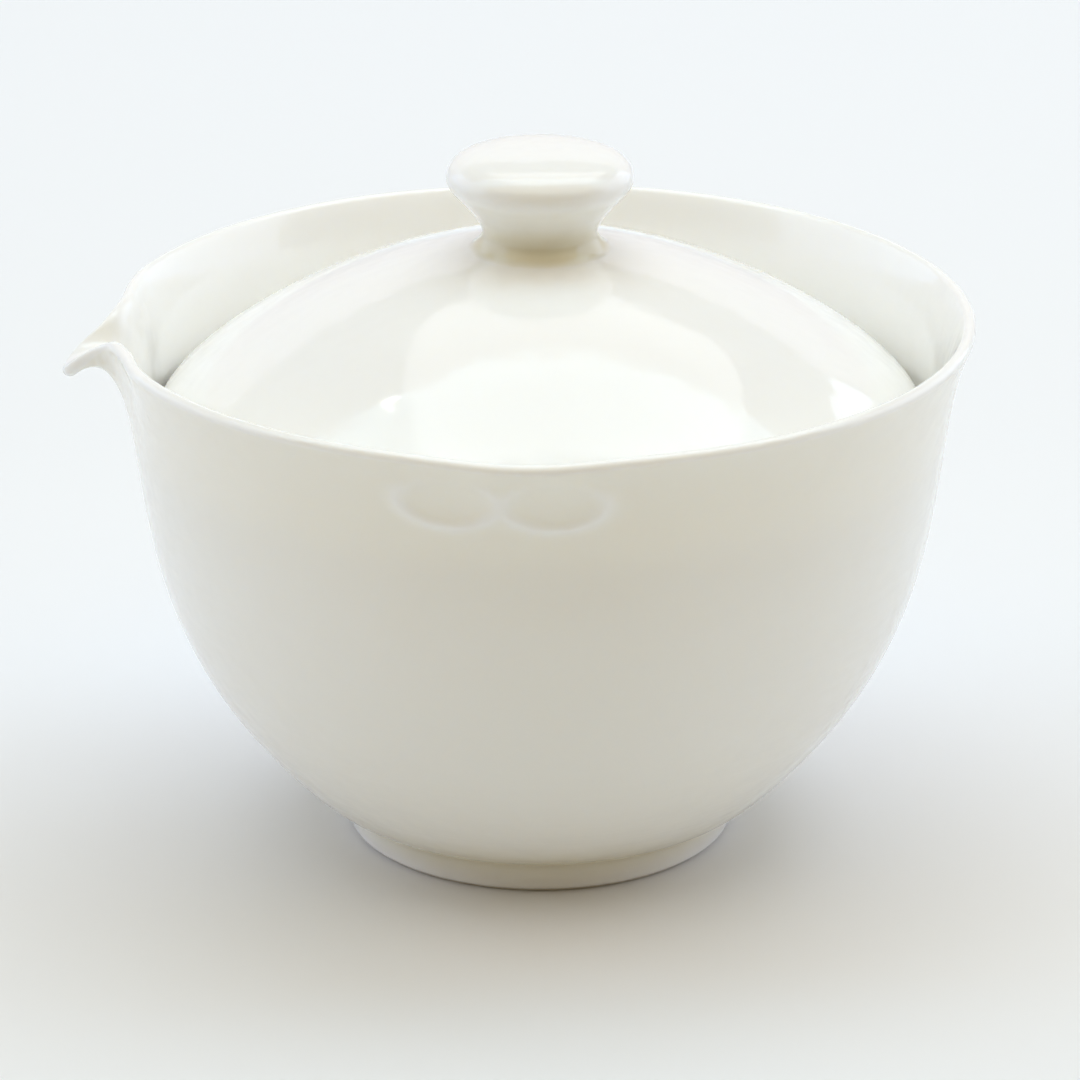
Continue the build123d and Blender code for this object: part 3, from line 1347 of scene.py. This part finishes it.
PANELS = (
    Panel("front_ceiling", (0.0, -0.75, 1.6), (0.0, -0.75, 0.0), (4.0, 1.3), 0.90, (1.0, 0.89, 0.64)),
    Panel("middle_ceiling", (0.0, 0.3, 1.6), (0.0, 0.3, 0.0), (4.0, 0.8), 1.80, (0.58, 0.82, 1.0)),
    Panel("window", (0.15, 0.40, 0.95), (0.15, 0.40, 0.0), (0.96, 0.82), 1.36, (0.93, 0.94, 1.0)),
    Panel("spot", (-0.387, 0.385, 0.95), (-0.017, -0.024, 0.057), (0.045, 0.045), 12.0, (1.0, 0.98, 0.94)),
    Panel("back_wall", (0.0, 2.6, 0.8), (0.0, 0.0, 0.8), (4.0, 1.6), 0.58, (0.91, 0.89, 1.0)),
    Panel("left_wall", (-2.0, 1.0, 0.8), (0.0, 1.0, 0.8), (3.0, 1.6), 1.62, (0.65, 0.76, 1.0)),
    Panel("right_wall", (2.0, 1.0, 0.8), (0.0, 1.0, 0.8), (3.0, 1.6), 1.76, (0.68, 0.78, 1.0)),
)


@dataclass
class Studio:
    """A pale sheet in a soft white room that is dimmer in front, and the camera."""

    height: float
    floor_radius: float = 4.0
    floor_thickness: float = 0.004
    floor_turns: int = 96
    floor_colour: tuple[float, float, float] = (0.825, 0.828, 0.835)
    floor_roughness: float = 0.75
    floor_specular: float = 0.2
    room_colour: tuple[float, float, float] = (1.0, 0.76, 0.40)
    room_light: float = 0.23
    camera_azimuth: float = -4.0
    camera_elevation: float = 21.2
    camera_distance: float = 0.553
    aim_share: float = 0.421
    lens: float = 171.2

    def floor(self) -> None:
        """Lay the pale sheet that the bowl stands on."""
        rings = turned_rings(self.floor_profile(), self.floor_turns)
        sheet = Skin("studio_floor", rings, [[0.0] * self.floor_turns for _ in rings]).weave()
        material = bpy.data.materials.new("studio paper")
        material.use_nodes = True
        shader = material.node_tree.nodes["Principled BSDF"]
        shader.inputs["Base Color"].default_value = (*self.floor_colour, 1.0)
        shader.inputs["Roughness"].default_value = self.floor_roughness
        shader.inputs["Specular IOR Level"].default_value = self.floor_specular
        sheet.data.materials.append(material)

    def floor_profile(self) -> list[Point]:
        """Lay out the sheet, a thin disc whose top is at the foot's level.

        Returns:
            Radius and height of its rings.
        """
        edge = self.floor_radius
        top = [(radius, 0.0) for radius in (edge, 1.0, 0.3, 0.05)]
        return [(edge, -self.floor_thickness)] + top

    def light(self) -> None:
        """Light the room and hang the panels."""
        world = bpy.data.worlds.new("studio room")
        world.use_nodes = True
        backdrop = world.node_tree.nodes["Background"]
        backdrop.inputs["Color"].default_value = (*self.room_colour, 1.0)
        backdrop.inputs["Strength"].default_value = self.room_light
        bpy.context.scene.world = world
        for panel in PANELS:
            panel.hang()

    def camera(self) -> None:
        """Set the camera up in front, looking a little down."""
        azimuth = math.radians(self.camera_azimuth)
        elevation = math.radians(self.camera_elevation)
        level = math.cos(elevation)
        away = Vector((math.sin(azimuth) * level, -math.cos(azimuth) * level, math.sin(elevation)))
        aim = Vector((0.0, 0.0, self.aim_share * self.height))
        data = bpy.data.cameras.new("camera")
        data.lens = self.lens
        eye = bpy.data.objects.new("camera", data)
        eye.location = aim + away * self.camera_distance
        eye.rotation_euler = (-away).to_track_quat("-Z", "Y").to_euler()
        bpy.context.scene.collection.objects.link(eye)
        bpy.context.scene.camera = eye

    def make(self) -> None:
        """Set up the floor, the lights and the camera."""
        self.floor()
        self.light()
        self.camera()
        bpy.context.scene.view_settings.view_transform = "Standard"
        LOG.info("studio: floor, lights and camera")


def main() -> None:
    """Build the gaiwan round its frame and set up the studio."""
    logging.basicConfig(level=logging.INFO, format="%(message)s")
    shell_low, shell_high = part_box("bowl_shell")
    dome_low, dome_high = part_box("lid_dome")
    coats = finishes()
    wall = Wall(
        foot_radius=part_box("foot_ring")[1].x,
        foot_height=shell_low.z,
        rim_radius=shell_high.x - RIM_OVERHANG,
        rim_height=shell_high.z,
    )
    Bowl(wall).make(coats)
    LidLedge(wall, top=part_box("lid_ledge")[1].z).make(coats)
    knob = Knob(seat=dome_high.z)
    Lid(dome_high.x, dome_low.z, dome_high.z - dome_low.z, knob).make(coats)
    Studio(height=cad_box[1].z).make()


if __name__ == "__main__":
    main()
